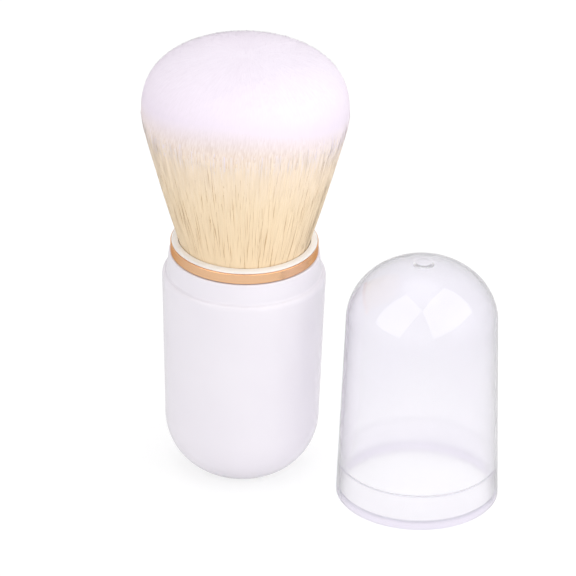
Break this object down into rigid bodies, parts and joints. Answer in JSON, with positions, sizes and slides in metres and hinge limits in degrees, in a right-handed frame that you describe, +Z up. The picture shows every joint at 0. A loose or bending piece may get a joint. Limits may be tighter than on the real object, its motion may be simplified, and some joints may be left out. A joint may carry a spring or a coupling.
{
  "type": "retractable makeup brush",
  "caption": "Domed, flared powder brush in a capsule casing, with a sleeve that slides up to gather the bristles and a clear domed cap standing beside it.",
  "frame": {"origin": "centre of the flat base that the brush stands on", "axes": "+Z up along the brush's own axis, towards the bristle tips; +X towards the side where the cap stands; +Y away from the cap's side, towards the rear"},
  "size_m": [0.0887, 0.0591, 0.1122],
  "materials": {
    "white_gloss": "smooth, softly glossy white moulded plastic with a faint lilac cast",
    "white_inner": "plain moulded white plastic, unseen",
    "rubber": "black rubber ring, unseen",
    "steel": "plain zinc-plated steel, unseen",
    "aluminium": "spun aluminium, almost hidden inside the sleeve",
    "glue": "set casting resin, unseen",
    "bristle": "fine tapered synthetic fibre, cream at the root and pale lilac white at the tips",
    "copper": "polished copper-coloured plated ring",
    "clear_plastic": "clear, slightly milky moulded plastic, glossy"
  },
  "bodies": {
    "brush": {"casing": "white_gloss", "neck_collar": "white_gloss", "friction_ring": "rubber", "base_weight": "steel", "core_screw": "steel", "core_post": "white_inner", "ferrule": "aluminium", "glue_plug": "glue", "bristles_rear_right": "bristle", "bristles_rear_left": "bristle", "bristles_front_left": "bristle", "bristles_front_right": "bristle"},
    "sleeve": {"sleeve_tube": "white_gloss", "copper_ring": "copper", "sleeve_rim": "white_gloss"},
    "cap": {"cap": "clear_plastic"}
  },
  "joints": [
    {"name": "sleeve_slide", "type": "slide", "parent": "brush", "child": "sleeve", "axis": [0, 0, 1], "range_m": [0, 0.02], "deforming": ["bristles_rear_right", "bristles_rear_left", "bristles_front_left", "bristles_front_right"]},
    {"name": "cap_lift", "type": "slide", "parent": "brush", "child": "cap", "axis": [0, 0, 1], "range_m": [0, 0.12]}
  ]
}
